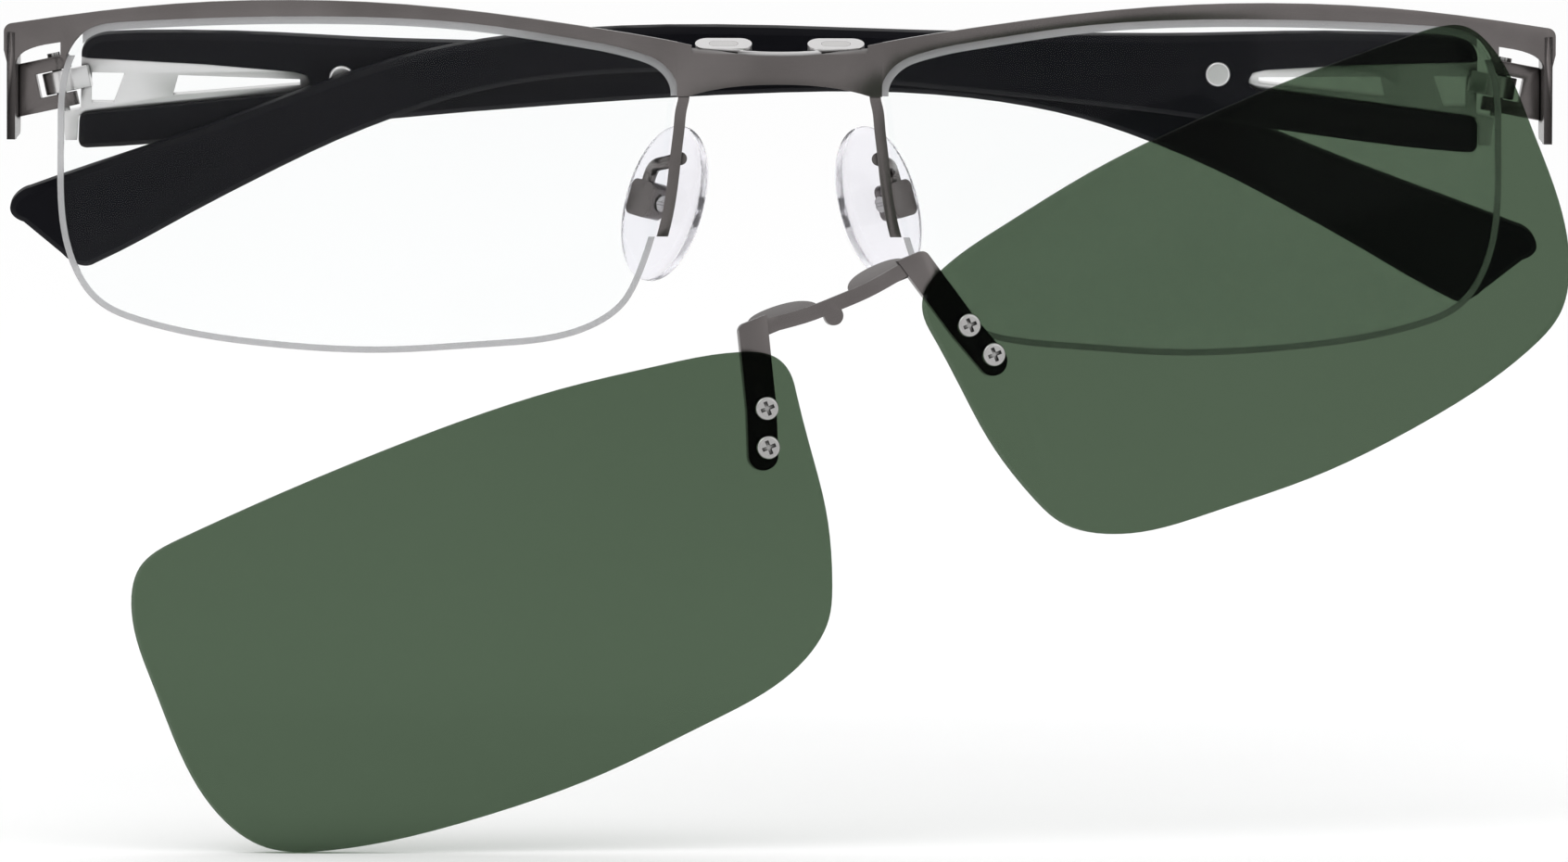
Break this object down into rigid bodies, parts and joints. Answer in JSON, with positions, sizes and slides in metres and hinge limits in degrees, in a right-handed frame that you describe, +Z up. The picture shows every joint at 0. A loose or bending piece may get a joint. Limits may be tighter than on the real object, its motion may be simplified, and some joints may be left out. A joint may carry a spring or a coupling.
{
  "type": "half-rim eyeglasses with magnetic clip-on lenses",
  "caption": "Half-rim glasses with folding temples and rocking nose pads, and a tinted clip that swings up onto magnets on their bridge",
  "frame": {"origin": "midway between the two nose pads, at the curved front's middle surface", "axes": "+X to the viewer's right along the front, -Y forward out of the lenses, +Z up with the front upright"},
  "size_m": [0.1406, 0.1085, 0.0695],
  "materials": {
    "gunmetal": "satin gunmetal plating",
    "silver": "satin silver",
    "magnet": "bright plated",
    "clear_lens": "clear polished",
    "nylon": "clear nylon",
    "silicone": "clear soft",
    "green_lens": "tinted polished",
    "black_rubber": "matte soft-touch"
  },
  "bodies": {
    "front": {"front_bar": "gunmetal", "magnet_shelf": "silver", "rim_left": "gunmetal", "rim_right": "gunmetal", "liner_left": "nylon", "liner_right": "nylon", "lens_left": "clear_lens", "lens_right": "clear_lens", "thread_left": "nylon", "thread_right": "nylon", "endpiece_left": "gunmetal", "endpiece_right": "gunmetal", "hinge_leaf_left": "gunmetal", "hinge_leaf_right": "gunmetal", "hinge_screw_left": "silver", "hinge_screw_right": "silver", "front_magnet_left": "magnet", "front_magnet_right": "magnet", "pad_arm_left": "gunmetal", "pad_arm_right": "gunmetal", "pad_box_left": "gunmetal", "pad_box_right": "gunmetal", "pad_screw_left": "silver", "pad_screw_right": "silver"},
    "temple_left": {"temple_knuckle_left": "silver", "temple_core_left": "silver", "temple_sleeve_left": "black_rubber", "temple_rivet_left": "silver"},
    "pad_left": {"nose_pad_left": "silicone"},
    "temple_right": {"temple_knuckle_right": "silver", "temple_core_right": "silver", "temple_sleeve_right": "black_rubber", "temple_rivet_right": "silver"},
    "pad_right": {"nose_pad_right": "silicone"},
    "clip_carrier": {"clip_screw_left_upper": "silver"},
    "clip": {"clip_bridge": "gunmetal", "clip_lens_left": "green_lens", "clip_lens_right": "green_lens", "clip_screw_left_lower": "silver", "clip_screws_right": "silver", "clip_magnet_left": "magnet", "clip_magnet_right": "magnet"}
  },
  "joints": [
    {"name": "temple_right_fold", "type": "hinge", "parent": "front", "child": "temple_right", "pos_m": [0.0657, 0.016, 0.01], "axis": [-0.1874, 0, -0.9823], "range_deg": [0, 90]},
    {"name": "temple_left_fold", "type": "hinge", "parent": "front", "child": "temple_left", "pos_m": [-0.0657, 0.016, 0.01], "axis": [-0.2113, 0, 0.9774], "range_deg": [0, 87]},
    {"name": "pad_right_rock", "type": "hinge", "parent": "front", "child": "pad_right", "pos_m": [0.01025, 0.00686, -0.00033], "axis": [0.7178, 0.6691, 0.1923], "range_deg": [-6, 6]},
    {"name": "pad_left_rock", "type": "hinge", "parent": "front", "child": "pad_left", "pos_m": [-0.01165, 0.00686, -0.00033], "axis": [-0.7178, 0.6691, 0.1923], "range_deg": [-6, 6]},
    {"name": "clip_swing", "type": "hinge", "parent": "front", "child": "clip_carrier", "pos_m": [0.27454, -0.02394, 0.04972], "axis": [0.161, 0.3125, -0.9362], "range_deg": [0, 15.16]},
    {"name": "clip_turn", "type": "hinge", "parent": "clip_carrier", "child": "clip", "pos_m": [-0.00095, -0.07583, -0.01499], "axis": [0.2043, -0.9777, 0.0492], "range_deg": [-16.84, 0]}
  ],
  "couplings": [
    {"joint": "clip_turn", "follows": "clip_swing", "ratio": -1.1101}
  ]
}
